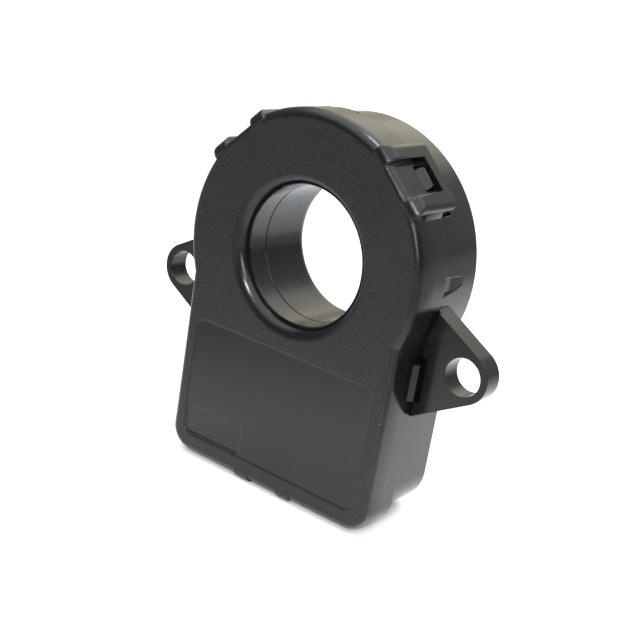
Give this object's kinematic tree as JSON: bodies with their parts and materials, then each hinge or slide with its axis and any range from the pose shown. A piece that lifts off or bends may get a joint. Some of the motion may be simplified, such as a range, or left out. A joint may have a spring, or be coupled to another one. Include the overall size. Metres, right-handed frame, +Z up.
{
  "type": "current sensor",
  "caption": "Ring-type current sensor in a black snap-fit housing with a round conductor aperture, two screw ears, a recessed label panel and a rear connector socket.",
  "frame": {"origin": "middle of the aperture: on its axis, half way between the front face and the rear face", "axes": "+Y runs along the aperture from the label face to the connector face, +Z is up, +X is to the right when the label face is looked at"},
  "size_m": [0.0712, 0.031, 0.0687],
  "materials": {
    "cover_plastic": "black glass-filled plastic with a fine grain",
    "housing_plastic": "black glass-filled plastic, smooth",
    "core_tape": "wound magnetic tape",
    "case_plastic": "natural plastic",
    "copper": "enamelled copper wire",
    "board": "green solder mask on glass laminate",
    "contact": "tinned brass",
    "chip_plastic": "moulded epoxy",
    "can_metal": "drawn metal can",
    "ferrite": "sintered ferrite",
    "ceramic": "fired ceramic with tinned ends"
  },
  "bodies": {
    "root": {"front_cover": "cover_plastic", "rear_housing": "housing_plastic", "ring_core": "core_tape", "core_case_front": "case_plastic", "core_case_rear": "case_plastic", "winding": "copper", "lead_1": "copper", "lead_2": "copper", "lead_3": "copper", "lead_4": "copper", "circuit_board": "board", "terminal_1": "contact", "terminal_2": "contact", "terminal_3": "contact", "terminal_4": "contact", "microcontroller": "chip_plastic", "bus_transceiver": "chip_plastic", "regulator": "chip_plastic", "crystal": "can_metal", "storage_capacitor": "can_metal", "line_choke": "ferrite", "surge_diode": "chip_plastic", "burden_resistor": "chip_plastic", "bridge_driver": "chip_plastic", "ceramic_1": "ceramic", "ceramic_2": "ceramic", "ceramic_3": "ceramic"}
  },
  "joints": []
}
